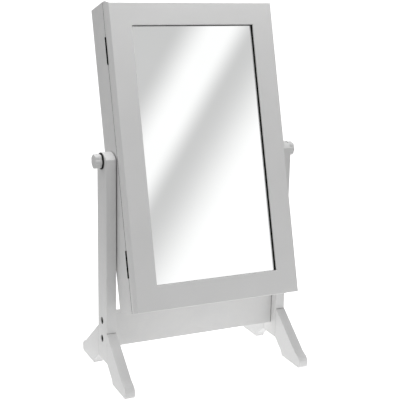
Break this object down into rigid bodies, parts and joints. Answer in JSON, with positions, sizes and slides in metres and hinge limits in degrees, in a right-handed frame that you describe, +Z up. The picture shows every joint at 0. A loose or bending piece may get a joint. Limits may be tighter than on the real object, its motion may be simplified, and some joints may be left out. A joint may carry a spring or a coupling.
{
  "type": "table-top cheval mirror cabinet",
  "caption": "Tilting cheval mirror for a table: its mirror is the hinged door of a shallow jewellery cabinet, clamped by side knobs between posts on splayed feet.",
  "frame": {"origin": "on the table, midway between the posts and straight under the tilt axis", "axes": "+X to the viewer's right, +Y to the back, +Z up; the mirror faces -Y and leans back 16 degrees from upright"},
  "size_m": [0.3656, 0.222, 0.6197],
  "materials": {
    "lacquer": "satin white lacquer on MDF",
    "mirror": "silvered float glass",
    "black_steel": "blackened steel, semi-gloss",
    "zinc_steel": "zinc plated",
    "white_plastic": "moulded, satin",
    "black_rubber": "matte",
    "velvet": "short pile flock",
    "beech": "raw"
  },
  "bodies": {
    "stand": {"left_post": "lacquer", "right_post": "lacquer", "cross_rail": "lacquer", "front_left_foot": "lacquer", "front_left_dowel_upper": "beech", "front_left_dowel_lower": "beech", "back_left_foot": "lacquer", "back_left_dowel_upper": "beech", "back_left_dowel_lower": "beech", "rail_bolt_left_upper": "black_steel", "barrel_nut_left_upper": "zinc_steel", "rail_bolt_left_lower": "black_steel", "barrel_nut_left_lower": "zinc_steel", "front_right_foot": "lacquer", "front_right_dowel_upper": "beech", "front_right_dowel_lower": "beech", "back_right_foot": "lacquer", "back_right_dowel_upper": "beech", "back_right_dowel_lower": "beech", "rail_bolt_right_upper": "black_steel", "barrel_nut_right_upper": "zinc_steel", "rail_bolt_right_lower": "black_steel", "barrel_nut_right_lower": "zinc_steel"},
    "cabinet": {"case_left_side": "lacquer", "case_right_side": "lacquer", "case_bottom": "lacquer", "case_top": "lacquer", "case_back_panel": "lacquer", "lower_shelf": "lacquer", "upper_shelf": "lacquer", "left_pivot_insert": "zinc_steel", "left_pivot_spacer": "black_rubber", "right_pivot_insert": "zinc_steel", "right_pivot_spacer": "black_rubber", "hook_rail": "black_steel", "ring_pad": "velvet", "magnet_catch": "white_plastic", "case_hinge_leaf_upper": "black_steel", "hinge_pin_upper": "black_steel", "case_hinge_leaf_lower": "black_steel", "hinge_pin_lower": "black_steel"},
    "door": {"door_frame": "lacquer", "mirror_glass": "mirror", "mirror_backing": "velvet", "strike_plate": "zinc_steel", "door_hinge_leaf_upper": "black_steel", "door_hinge_leaf_lower": "black_steel"},
    "left_knob": {"left_knob_grip": "white_plastic", "left_knob_stud": "zinc_steel", "left_knob_washer": "black_rubber"},
    "right_knob": {"right_knob_grip": "white_plastic", "right_knob_stud": "zinc_steel", "right_knob_washer": "black_rubber"}
  },
  "joints": [
    {"name": "cabinet_tilt", "type": "hinge", "parent": "stand", "child": "cabinet", "pos_m": [0, 0, 0.368], "axis": [-1, 0, 0], "range_deg": [-16, 44]},
    {"name": "door_swing", "type": "hinge", "parent": "cabinet", "child": "door", "pos_m": [-0.15, -0.02244, 0.37444], "axis": [0, -0.2756, -0.9613], "range_deg": [0, 90]},
    {"name": "left_knob_turn", "type": "hinge", "parent": "stand", "child": "left_knob", "pos_m": [-0.177, 0, 0.368], "axis": [-1, 0, 0], "continuous": true},
    {"name": "right_knob_turn", "type": "hinge", "parent": "stand", "child": "right_knob", "pos_m": [0.177, 0, 0.368], "axis": [1, 0, 0], "continuous": true}
  ]
}
